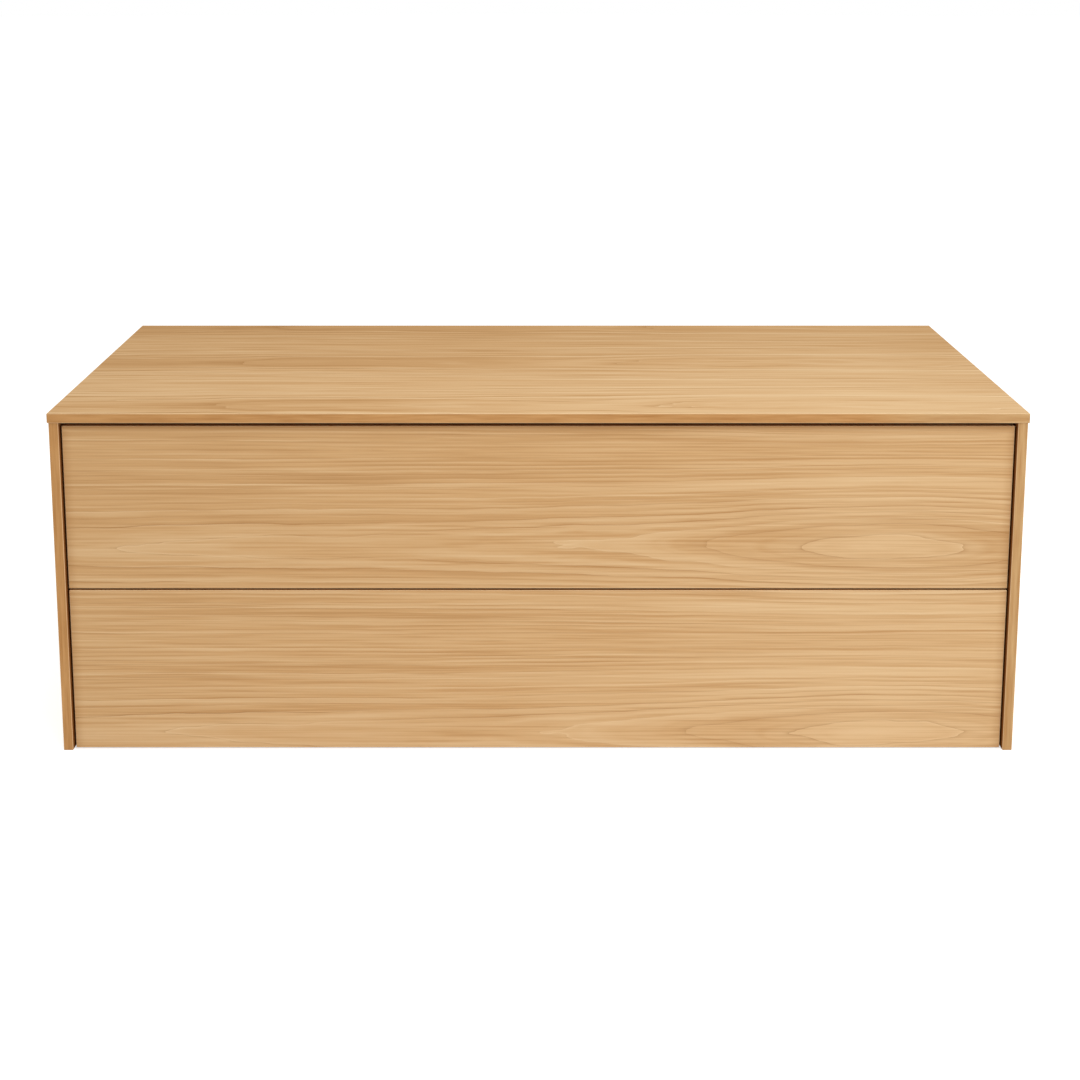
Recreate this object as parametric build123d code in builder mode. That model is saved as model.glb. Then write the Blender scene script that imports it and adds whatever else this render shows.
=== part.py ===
"""A low, wide chest with two handleless drawers on ball-bearing runners, pressed to open.

All lengths are millimetres. The origin is on the floor under the middle of the chest. +X runs
along the width, +Y to the back and +Z up, so the drawer fronts face -Y.
"""

import os

from build123d import *

os.makedirs("parts", exist_ok=True)

# Whole chest, as wide and deep as its top panel
chest_width = 1200
chest_depth = 550
chest_height = 437.5

# Carcass boards
top_thickness = 12
top_overhang = 1.5
side_thickness = 12
bottom_thickness = 16
bottom_rise = 20
back_thickness = 6
back_inset = 10
back_groove_depth = 6
rail_thickness = 16
rail_width = 70
arris_radius = 0.8

# Drawer fronts and the gaps round them
front_thickness = 18
front_setback = 4
side_gap = 3
top_gap = 5
middle_gap = 2.5
floor_gap = 2

# Drawer boxes
box_board = 12
box_rise = 44
box_top_clearance = 13
box_bottom_thickness = 6
box_bottom_rise = 8
box_groove_depth = 6
box_edge_radius = 1.5
batten_width = 40

# Runners: three nested channels with rows of balls between them
runner_thickness = 12.7
runner_height = 45.5
runner_tail = 4
web_thickness = 1.2
flange_thickness = 1.6
bend_radius = 1
cabinet_flange_reach = 9.8
lip_clearance = 1.5
ball_radius = 2
race_clearance = 0.3
flange_stand = 1.4
cage_web = 0.5
cage_strip = 0.8
cage_play = 0.25
cage_hole_play = 0.15
cage_rim = 0.7
balls_per_row = 4
cage_length_share = 0.4
runner_screw_shares = (0.08, 0.5, 0.92)
runner_slot_shares = (0.18, 0.4, 0.6, 0.82)
runner_slot_length = 16
runner_slot_width = 4.5
stop_tab_height = 16
stop_tab_reach = 8

# Push-to-open latches, one behind each side of a drawer box
press_travel = 3
press_clearance = 1
latch_length = 44
latch_room = 8.5
latch_rear_room = 4
latch_end_wall = 4
latch_barrel_radius = 7.5
latch_rib_thickness = 6
latch_plate_thickness = 3
latch_plate_height = 28
latch_screw_inset = 7
plunger_radius = 5
plunger_wall = 1.5
plunger_tip_wall = 3
plunger_tip_radius = 1.5
plunger_gap = 0.3
plunger_play = 0.3
spring_radius = 3
spring_wire = 0.8

# Fasteners
screw_radius = 1.75
screw_head_radius = 3.4
screw_tip = 3
short_screw_length = 11
top_screw_length = 24
back_screw_length = 22
front_screw_length = 24
dowel_radius = 4
dowel_length = 28
dowel_side_depth = 8
box_dowel_radius = 3
box_dowel_length = 26
box_dowel_side_depth = 8
dowel_chamfer_share = 0.2
cam_radius = 7.5
cam_height = 12
cam_setback = 24
cam_bolt_radius = 2.5
cam_bolt_head_radius = 3.5
cam_bolt_head = 3
cam_bolt_bite = 9
cam_bolt_neck_share = 0.7
fastener_pitch = 32
carcass_screw_count = 5
bottom_joint_share = 0.32
front_screw_shares = (-0.4, -0.14, 0.14, 0.4)
front_screw_height_shares = (0.28, 0.72)
box_dowel_shares = (0.3, 0.75)

# Play for fitting together, and how far a cut runs past the face it opens
hole_play = 0.1
panel_play = 0.2
end_play = 0.5
overrun = 1
head_angle = 90

# Planes of the carcass
side_height = chest_height - top_thickness
side_outer_x = chest_width / 2 - top_overhang
side_inner_x = side_outer_x - side_thickness
carcass_front_y = top_overhang - chest_depth / 2
carcass_back_y = chest_depth / 2
back_face_y = carcass_back_y - back_inset
back_front_y = back_face_y - back_thickness
front_back_y = carcass_front_y + front_setback + front_thickness
inner_front_y = front_back_y + press_travel + press_clearance
rail_low_z = side_height - rail_thickness
bottom_axis_z = bottom_rise + bottom_thickness / 2
rail_axis_z = rail_low_z + rail_thickness / 2

# Drawer fronts and boxes, each level with the heights of its front, box and runner
front_width = 2 * (side_inner_x - side_gap)
front_height = (side_height - top_gap - middle_gap - floor_gap) / 2
drawer_pitch = front_height + middle_gap
box_outer_x = side_inner_x - runner_thickness
box_inner_x = box_outer_x - box_board
box_height = rail_low_z - box_top_clearance - (floor_gap + drawer_pitch + box_rise)
front_low_z = {"lower": floor_gap, "upper": floor_gap + drawer_pitch}
box_low_z = {level: z + box_rise for level, z in front_low_z.items()}
runner_z = {level: z + box_height / 2 for level, z in box_low_z.items()}

# Places along the depth, from the latch at the back to the front of the runner
latch_front_y = back_front_y - latch_rear_room - latch_length
runner_back_y = latch_front_y - latch_room
runner_length = runner_back_y - inner_front_y
runner_middle_y = (inner_front_y + runner_back_y) / 2
box_back_y = runner_back_y - runner_tail
latch_x = box_outer_x - box_board / 2

# Runner section: u runs from the side panel to the drawer, v up from the runner's middle
race_radius = ball_radius + race_clearance
cage_hole_radius = ball_radius + cage_hole_play
cabinet_top_v = runner_height / 2
outer_ball_v = cabinet_top_v - flange_thickness - flange_stand
middle_top_v = outer_ball_v - flange_stand
inner_ball_v = middle_top_v - flange_thickness - flange_stand
drawer_top_v = inner_ball_v - flange_stand
outer_cage_u = web_thickness + cage_play
middle_web_u = outer_cage_u + cage_web + cage_play
inner_cage_u = middle_web_u + web_thickness + cage_play
drawer_flange_u = inner_cage_u + cage_web + cage_play
drawer_web_u = runner_thickness - web_thickness
outer_ball_u = (middle_web_u + cabinet_flange_reach) / 2
inner_ball_u = (drawer_flange_u + runner_thickness) / 2
middle_flange_u = runner_thickness - lip_clearance
cage_length = runner_length * cage_length_share
runner_slot_places = [(runner_length * (share - 1 / 2), 0) for share in runner_slot_shares]
stop_tab_back_y = runner_back_y + press_travel + press_clearance + web_thickness


def spread(count, length):
    """Places of count things, evenly spaced about the middle of a length."""
    return [length * ((2 * place + 1) / count - 1) / 2 for place in range(count)]


# Places of the carcass fasteners, as (y, z) on a side panel or (x, y) and (x, z) across the chest
front_rail_y = inner_front_y + rail_width / 2
rear_rail_y = back_front_y - rail_width / 2
bottom_middle_y = (inner_front_y + back_front_y) / 2
bottom_joint = (back_front_y - inner_front_y) * bottom_joint_share
bottom_cam_ys = (bottom_middle_y - bottom_joint, bottom_middle_y + bottom_joint)
bottom_dowel_ys = (bottom_cam_ys[0] + fastener_pitch, bottom_cam_ys[1] - fastener_pitch)
rail_cam_ys = (front_rail_y - fastener_pitch / 2, rear_rail_y - fastener_pitch / 2)
rail_dowel_ys = (front_rail_y + fastener_pitch / 2, rear_rail_y + fastener_pitch / 2)
bolt_places = [(y, bottom_axis_z) for y in bottom_cam_ys] + [(y, rail_axis_z) for y in rail_cam_ys]
dowel_places = [(y, bottom_axis_z) for y in bottom_dowel_ys] + [(y, rail_axis_z) for y in rail_dowel_ys]
screw_xs = spread(carcass_screw_count, 2 * side_inner_x)
top_screw_places = [(x, y) for x in screw_xs for y in (front_rail_y, rear_rail_y)]
back_screw_places = [(x, z) for x in screw_xs for z in (bottom_axis_z, rail_axis_z)]

# Places of the runner and latch screws on a side panel
runner_screw_ys = [inner_front_y + runner_length * share for share in runner_screw_shares]
runner_screw_places = [(y, z) for y in runner_screw_ys for z in runner_z.values()]
latch_screw_rise = latch_plate_height / 2 - screw_head_radius - end_play
latch_screw_offsets = (
    (latch_screw_inset, latch_screw_rise),
    (latch_length - latch_screw_inset, -latch_screw_rise),
)
latch_screw_places = [
    (latch_front_y + along, z + rise) for along, rise in latch_screw_offsets for z in runner_z.values()
]


def keep(piece, name):
    """Label a finished sub-part and write it under the name of its node."""
    piece.part.label = name
    export_step(piece.part, f"parts/{name}.step")


def mirrored(piece):
    """The same sub-part on the other side of the chest."""
    with BuildPart() as other:
        mirror(piece.part, about=Plane.YZ)
    return other


def both_sides(piece):
    """A sub-part together with its mirror image on the other side of the chest."""
    with BuildPart() as pair:
        add(piece.part)
        mirror(about=Plane.YZ)
    return pair


def facing(direction, points):
    """Planes at the points that face the direction, so that holes run in against it."""
    return [Plane(origin=point, z_dir=direction) for point in points]


def copies(piece, planes):
    """A group of copies of one fastener, standing on the planes."""
    with BuildPart() as group:
        with Locations(*planes):
            add(piece.part)
    return group


# Fasteners stand with the face of the head, or the plane of the joint, at z = 0


def wood_screw(length):
    """A countersunk wood screw, its shank along -Z."""
    with BuildPart() as screw:
        with BuildSketch(Plane.XZ):
            with BuildLine():
                Polyline(
                    (0, 0),
                    (screw_head_radius, 0),
                    (screw_radius, screw_radius - screw_head_radius),
                    (screw_radius, screw_tip - length),
                    (0, -length),
                    close=True,
                )
            make_face()
        revolve(axis=Axis.Z)
    return screw


def screw_seat(depth):
    """Cut a countersunk hole for a wood screw at the current locations."""
    CounterSinkHole(screw_radius + hole_play, screw_head_radius + hole_play, depth, head_angle)


def dowel(radius, length, sunk):
    """A dowel along Z, sunk that far into the lower piece."""
    with BuildPart() as pin:
        with BuildSketch(Plane.XY.offset(-sunk)):
            Circle(radius)
        extrude(amount=length)
        chamfer(pin.edges().filter_by(GeomType.CIRCLE), radius * dowel_chamfer_share)
    return pin


def cam_bolt():
    """A bolt that screws into a side panel along -Z and hooks into a cam by its head."""
    head_low = cam_setback - cam_bolt_head / 2
    neck_low = head_low - cam_bolt_head
    neck_radius = cam_bolt_radius * cam_bolt_neck_share
    with BuildPart() as bolt:
        with BuildSketch(Plane.XZ):
            with BuildLine():
                Polyline(
                    (0, -cam_bolt_bite),
                    (cam_bolt_radius, -cam_bolt_bite),
                    (cam_bolt_radius, neck_low),
                    (neck_radius, neck_low),
                    (neck_radius, head_low),
                    (cam_bolt_head_radius, head_low),
                    (cam_bolt_head_radius, head_low + cam_bolt_head),
                    (0, head_low + cam_bolt_head),
                    close=True,
                )
            make_face()
        revolve(axis=Axis.Z)
    return bolt


def cam(bolt_depth):
    """A cam drum along -Z, open on its +X side where the bolt's head comes in."""
    with BuildPart() as drum:
        with BuildSketch():
            Circle(cam_radius)
        extrude(amount=-cam_height)
        with Locations(*facing((1, 0, 0), [(cam_radius, 0, -bolt_depth)])):
            Hole(cam_bolt_head_radius + hole_play, cam_radius + cam_bolt_head)
    return drum


def cross_board(front_y, back_y, low_z, thickness, cam_ys, dowel_ys):
    """A board between the side panels, drilled at both ends for cams, bolts and dowels."""
    axis_z = low_z + thickness / 2
    with BuildPart() as board:
        with BuildSketch(Plane.XY.offset(low_z)):
            with Locations((0, (front_y + back_y) / 2)):
                Rectangle(2 * side_inner_x, back_y - front_y)
        extrude(amount=thickness)
        for hand in (1, -1):
            end_x = hand * side_inner_x
            cam_x = end_x - hand * cam_setback
            with Locations(*facing((hand, 0, 0), [(end_x, y, axis_z) for y in cam_ys])):
                Hole(cam_bolt_radius + hole_play, cam_setback)
            with Locations(*facing((hand, 0, 0), [(end_x, y, axis_z) for y in dowel_ys])):
                Hole(dowel_radius + hole_play, dowel_length - dowel_side_depth + end_play)
            with Locations(*facing((0, 0, -1), [(cam_x, y, low_z) for y in cam_ys])):
                Hole(cam_radius + hole_play, cam_height)
    return board


def top_rail(middle_y, cam_y, dowel_y):
    """A rail under the top panel, with seats for the screws that hold the top."""
    board = cross_board(
        middle_y - rail_width / 2,
        middle_y + rail_width / 2,
        rail_low_z,
        rail_thickness,
        [cam_y],
        [dowel_y],
    )
    with BuildPart() as rail:
        add(board.part)
        with Locations(*facing((0, 0, -1), [(x, middle_y, rail_low_z) for x in screw_xs])):
            screw_seat(rail_thickness + overrun)
    return rail


# Top panel, resting on the sides and screwed from below
with BuildPart() as top_panel:
    with BuildSketch(Plane.XY.offset(side_height)):
        Rectangle(chest_width, chest_depth)
    extrude(amount=top_thickness)
    fillet(top_panel.edges(), arris_radius)
    with Locations(*facing((0, 0, -1), [(x, y, side_height) for x, y in top_screw_places])):
        Hole(screw_radius + hole_play, top_screw_length - rail_thickness + end_play)
keep(top_panel, "top_panel")

# Side panels, grooved for the back and drilled for the cross boards, runners and latches
with BuildPart() as right_side_panel:
    with BuildSketch(Plane.YZ.offset(side_inner_x)):
        with Locations(((carcass_front_y + carcass_back_y) / 2, side_height / 2)):
            Rectangle(carcass_back_y - carcass_front_y, side_height)
    extrude(amount=side_thickness)
    edge_rows = right_side_panel.edges().group_by(Axis.Z)
    fillet(edge_rows[0] + edge_rows[1], arris_radius)
    with BuildSketch(Plane.YZ.offset(side_inner_x)):
        with Locations((back_front_y + back_thickness / 2, side_height / 2)):
            Rectangle(back_thickness + 2 * panel_play, side_height + 2 * overrun)
    extrude(amount=back_groove_depth, mode=Mode.SUBTRACT)
    with Locations(*facing((-1, 0, 0), [(side_inner_x, y, z) for y, z in bolt_places])):
        Hole(cam_bolt_radius + hole_play, cam_bolt_bite + end_play)
    with Locations(*facing((-1, 0, 0), [(side_inner_x, y, z) for y, z in dowel_places])):
        Hole(dowel_radius + hole_play, dowel_side_depth + end_play)
    runner_seat_x = side_inner_x - web_thickness
    with Locations(*facing((-1, 0, 0), [(runner_seat_x, y, z) for y, z in runner_screw_places])):
        screw_seat(short_screw_length + end_play)
    with Locations(*facing((-1, 0, 0), [(side_inner_x, y, z) for y, z in latch_screw_places])):
        Hole(screw_radius + hole_play, short_screw_length - latch_plate_thickness + end_play)
keep(right_side_panel, "right_side_panel")
keep(mirrored(right_side_panel), "left_side_panel")

# Bottom panel and the two rails, joined to the sides, and the back screwed to two of them
back_screw_hole = back_screw_length - back_thickness + end_play
bottom_board = cross_board(
    inner_front_y, back_front_y, bottom_rise, bottom_thickness, bottom_cam_ys, bottom_dowel_ys
)
with BuildPart() as bottom_panel:
    add(bottom_board.part)
    with Locations(*facing((0, 1, 0), [(x, back_front_y, bottom_axis_z) for x in screw_xs])):
        Hole(screw_radius + hole_play, back_screw_hole)
keep(bottom_panel, "bottom_panel")

front_top_rail = top_rail(front_rail_y, rail_cam_ys[0], rail_dowel_ys[0])
keep(front_top_rail, "front_top_rail")

rear_rail_board = top_rail(rear_rail_y, rail_cam_ys[1], rail_dowel_ys[1])
with BuildPart() as rear_top_rail:
    add(rear_rail_board.part)
    with Locations(*facing((0, 1, 0), [(x, back_front_y, rail_axis_z) for x in screw_xs])):
        Hole(screw_radius + hole_play, back_screw_hole)
keep(rear_top_rail, "rear_top_rail")

# Back panel, held in the side grooves
with BuildPart() as back_panel:
    with BuildSketch(Plane.XZ.offset(-back_face_y)):
        with Locations((0, (bottom_rise + side_height) / 2)):
            back_half_width = side_inner_x + back_groove_depth - panel_play
            Rectangle(2 * back_half_width, side_height - bottom_rise)
    extrude(amount=back_thickness)
    with Locations(*facing((0, 1, 0), [(x, back_face_y, z) for x, z in back_screw_places])):
        screw_seat(back_thickness + overrun)
keep(back_panel, "back_panel")

# Carcass fasteners
right_bolt_planes = facing((-1, 0, 0), [(side_inner_x, y, z) for y, z in bolt_places])
keep(both_sides(copies(cam_bolt(), right_bolt_planes)), "cam_bolts")

right_dowel_planes = facing((-1, 0, 0), [(side_inner_x, y, z) for y, z in dowel_places])
carcass_dowel = dowel(dowel_radius, dowel_length, dowel_side_depth)
keep(both_sides(copies(carcass_dowel, right_dowel_planes)), "wood_dowels")

bottom_cam = cam(bottom_thickness / 2)
rail_cam = cam(rail_thickness / 2)
cam_x = side_inner_x - cam_setback
cam_rows = ((bottom_cam, bottom_rise, bottom_cam_ys), (rail_cam, rail_low_z, rail_cam_ys))
with BuildPart() as right_cams:
    for drum, low_z, cam_ys in cam_rows:
        places = [Plane(origin=(cam_x, y, low_z), x_dir=(1, 0, 0), z_dir=(0, 0, -1)) for y in cam_ys]
        with Locations(*places):
            add(drum.part)
keep(both_sides(right_cams), "cam_housings")

top_screw_planes = facing((0, 0, -1), [(x, y, rail_low_z) for x, y in top_screw_places])
keep(copies(wood_screw(top_screw_length), top_screw_planes), "top_screws")

back_screw_planes = facing((0, 1, 0), [(x, back_face_y, z) for x, z in back_screw_places])
keep(copies(wood_screw(back_screw_length), back_screw_planes), "back_screws")

short_screw = wood_screw(short_screw_length)
runner_screw_planes = facing((-1, 0, 0), [(runner_seat_x, y, z) for y, z in runner_screw_places])
keep(both_sides(copies(short_screw, runner_screw_planes)), "cabinet_runner_screws")

latch_seat_x = side_inner_x - latch_plate_thickness
latch_screw_planes = facing((-1, 0, 0), [(latch_seat_x, y, z) for y, z in latch_screw_places])
keep(both_sides(copies(short_screw, latch_screw_planes)), "latch_screws")


# Runners, built on the right-hand side with their section drawn in (u, v)


def section_plane(level, start_y):
    """The plane of a runner's section, with u towards the drawer and the length along +Y."""
    return Plane(origin=(side_inner_x, start_y, runner_z[level]), x_dir=(-1, 0, 0), z_dir=(0, 1, 0))


def web_plane(level, u):
    """The plane of a web's face at u, with X along the runner and Z towards the drawer."""
    return Plane(
        origin=(side_inner_x - u, runner_middle_y, runner_z[level]), x_dir=(0, 1, 0), z_dir=(-1, 0, 0)
    )


def channel(level, web_u, flange_u, top_v, races):
    """A channel of folded steel with ball races rolled along its flanges.

    Its web starts at web_u, its flanges end at flange_u, and it is open on that side.
    """
    low_u = min(web_u, flange_u)
    high_u = max(web_u, flange_u)
    inner_low_u = low_u + web_thickness if web_u < flange_u else low_u - overrun
    inner_high_u = high_u + overrun if web_u < flange_u else high_u - web_thickness
    with BuildPart() as member:
        with BuildSketch(section_plane(level, inner_front_y)) as section:
            with Locations(((low_u + high_u) / 2, 0)):
                Rectangle(high_u - low_u, 2 * top_v)
            bends = section.vertices().sort_by(Axis.X, reverse=web_u > flange_u)[:2]
            fillet(bends, bend_radius)
            with Locations(((inner_low_u + inner_high_u) / 2, 0)):
                Rectangle(
                    inner_high_u - inner_low_u, 2 * (top_v - flange_thickness), mode=Mode.SUBTRACT
                )
            for race_u, race_v in races:
                with Locations((race_u, race_v), (race_u, -race_v)):
                    Circle(race_radius, mode=Mode.SUBTRACT)
        extrude(amount=runner_length)
    return member


def cage(level, web_u, ball_u, ball_v):
    """A ball cage: two strips with round pockets, joined by a thin web."""
    rim_u = ball_u + cage_hole_radius + cage_rim
    with BuildPart() as retainer:
        with BuildSketch(section_plane(level, runner_middle_y - cage_length / 2)):
            with Locations((web_u + cage_web / 2, 0)):
                Rectangle(cage_web, 2 * ball_v + cage_strip)
            with Locations(((web_u + rim_u) / 2, ball_v), ((web_u + rim_u) / 2, -ball_v)):
                Rectangle(rim_u - web_u, cage_strip)
        extrude(amount=cage_length)
        with Locations(*ball_places(level, ball_u, ball_v)):
            Cylinder(cage_hole_radius, cage_strip + 2 * overrun, mode=Mode.SUBTRACT)
    return retainer


def ball_places(level, ball_u, ball_v):
    """Centres of the balls in one cage."""
    return [
        (side_inner_x - ball_u, runner_middle_y + along, runner_z[level] + rise)
        for along in spread(balls_per_row, cage_length)
        for rise in (ball_v, -ball_v)
    ]


def balls(level, ball_u, ball_v):
    """The loose steel balls of one cage."""
    with BuildPart() as row:
        with Locations(*ball_places(level, ball_u, ball_v)):
            Sphere(ball_radius)
    return row


def drawer_screw_points(level):
    """Where the screws of a drawer's right-hand runner have their heads."""
    return [(side_inner_x - drawer_web_u, y, runner_z[level]) for y in runner_screw_ys]


def runner(level):
    """Both runners of one drawer, member by member, with their cages and balls."""
    outer_race = (outer_ball_u, outer_ball_v)
    inner_race = (inner_ball_u, inner_ball_v)
    cabinet_channel = channel(level, 0, cabinet_flange_reach, cabinet_top_v, [outer_race])
    with BuildPart() as cabinet_member:
        add(cabinet_channel.part)
        with BuildSketch(Plane.XY.offset(runner_z[level] - stop_tab_height / 2)):
            with BuildLine():
                Polyline(
                    (side_inner_x, runner_back_y),
                    (side_inner_x, stop_tab_back_y),
                    (side_inner_x - stop_tab_reach, stop_tab_back_y),
                    (side_inner_x - stop_tab_reach, stop_tab_back_y - web_thickness),
                    (runner_seat_x, stop_tab_back_y - web_thickness),
                    (runner_seat_x, runner_back_y),
                    close=True,
                )
            make_face()
        extrude(amount=stop_tab_height)
        with BuildSketch(web_plane(level, web_thickness)):
            with Locations(*runner_slot_places):
                SlotOverall(runner_slot_length, runner_slot_width)
        extrude(amount=-web_thickness - overrun, mode=Mode.SUBTRACT)
        seats = [(runner_seat_x, y, runner_z[level]) for y in runner_screw_ys]
        with Locations(*facing((-1, 0, 0), seats)):
            screw_seat(web_thickness + overrun)
    keep(cabinet_member, f"{level}_right_cabinet_runner")
    keep(mirrored(cabinet_member), f"{level}_left_cabinet_runner")

    middle_member = channel(level, middle_web_u, middle_flange_u, middle_top_v, [outer_race, inner_race])
    keep(middle_member, f"{level}_right_middle_runner")
    keep(mirrored(middle_member), f"{level}_left_middle_runner")

    drawer_channel = channel(level, runner_thickness, drawer_flange_u, drawer_top_v, [inner_race])
    drawer_seats = facing((1, 0, 0), drawer_screw_points(level))
    with BuildPart() as drawer_member:
        add(drawer_channel.part)
        with BuildSketch(web_plane(level, runner_thickness)):
            with Locations(*runner_slot_places):
                SlotOverall(runner_slot_length, runner_slot_width)
        extrude(amount=-web_thickness - overrun, mode=Mode.SUBTRACT)
        with Locations(*drawer_seats):
            screw_seat(web_thickness + overrun)
    keep(drawer_member, f"{level}_right_drawer_runner")
    keep(mirrored(drawer_member), f"{level}_left_drawer_runner")
    keep(both_sides(copies(short_screw, drawer_seats)), f"{level}_drawer_runner_screws")

    keep(both_sides(cage(level, outer_cage_u, *outer_race)), f"{level}_outer_cages")
    keep(both_sides(cage(level, inner_cage_u, *inner_race)), f"{level}_inner_cages")
    keep(both_sides(balls(level, *outer_race)), f"{level}_outer_balls")
    keep(both_sides(balls(level, *inner_race)), f"{level}_inner_balls")


# Push-to-open latches, whose plungers lean on the back ends of the box sides


def latch_axis_plane(level, y):
    """A plane through a latch's axis, with X across it and Y along it."""
    return Plane(origin=(latch_x, y, runner_z[level]), x_dir=(1, 0, 0), z_dir=(0, 0, 1))


def latch_housing(level):
    """A moulded barrel on a rib and a screw plate, bored from the front for its plunger."""
    middle_z = runner_z[level]
    with BuildPart() as housing:
        with BuildSketch(Plane.XZ.offset(-latch_front_y)):
            with Locations((latch_x, middle_z)):
                Circle(latch_barrel_radius)
            with Locations(((latch_x + side_inner_x) / 2, middle_z)):
                Rectangle(side_inner_x - latch_x, latch_rib_thickness)
            with Locations((side_inner_x - latch_plate_thickness / 2, middle_z)):
                Rectangle(latch_plate_thickness, latch_plate_height)
        extrude(amount=-latch_length)
        with Locations(*facing((0, -1, 0), [(latch_x, latch_front_y, middle_z)])):
            Hole(plunger_radius + plunger_play, latch_length - latch_end_wall)
        seats = [
            (latch_seat_x, latch_front_y + along, middle_z + rise) for along, rise in latch_screw_offsets
        ]
        with Locations(*facing((-1, 0, 0), seats)):
            screw_seat(latch_plate_thickness + end_play)
    return housing


plunger_tip_y = box_back_y + plunger_gap
latch_floor_y = latch_front_y + latch_length - latch_end_wall
plunger_length = latch_floor_y - press_travel - 2 * press_clearance - plunger_tip_y


def latch_plunger(level):
    """A hollow plunger with a closed, rounded tip, open at the back for its spring."""
    bore = plunger_radius - plunger_wall
    with BuildPart() as plunger:
        with BuildSketch(latch_axis_plane(level, plunger_tip_y)) as outline:
            with BuildLine():
                Polyline(
                    (0, 0),
                    (plunger_radius, 0),
                    (plunger_radius, plunger_length),
                    (bore, plunger_length),
                    (bore, plunger_tip_wall),
                    (0, plunger_tip_wall),
                    close=True,
                )
            make_face()
            tip = outline.vertices().group_by(Axis.Y)[0].sort_by(Axis.X)[-1]
            fillet(tip, plunger_tip_radius)
        revolve(axis=Axis((latch_x, 0, runner_z[level]), (0, 1, 0)))
    return plunger


def latch_spring(level):
    """The space that the latch's hidden coil spring fills inside its plunger."""
    spring_front_y = plunger_tip_y + plunger_tip_wall
    with BuildPart() as spring:
        with BuildSketch(Plane.XZ.offset(-spring_front_y)):
            with Locations((latch_x, runner_z[level])):
                Circle(spring_radius)
                Circle(spring_radius - spring_wire, mode=Mode.SUBTRACT)
        extrude(amount=spring_front_y - latch_floor_y)
    return spring


# Drawer boxes and fronts


def grooved_board(size_x, size_y, middle_x, middle_y, low_z, groove_side):
    """An upright board of a drawer box with an eased top, grooved on one side for the bottom.

    groove_side is the unit direction, as (x, y), of the face that is grooved.
    """
    side_x, side_y = groove_side
    groove_z = low_z + box_bottom_rise + box_bottom_thickness / 2
    groove_x = middle_x + side_x * (size_x / 2 - box_groove_depth / 2 + overrun / 2)
    groove_y = middle_y + side_y * (size_y / 2 - box_groove_depth / 2 + overrun / 2)
    cut = box_groove_depth + overrun
    with BuildPart() as board:
        with BuildSketch(Plane.XY.offset(low_z)):
            with Locations((middle_x, middle_y)):
                Rectangle(size_x, size_y)
        extrude(amount=box_height)
        long_edges = board.edges().filter_by(Axis.Y if side_x else Axis.X)
        fillet(long_edges.group_by(Axis.Z)[-1], box_edge_radius)
        with Locations((groove_x, groove_y, groove_z)):
            Box(
                cut if side_x else size_x + 2 * overrun,
                cut if side_y else size_y + 2 * overrun,
                box_bottom_thickness + 2 * panel_play,
                mode=Mode.SUBTRACT,
            )
    return board


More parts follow.
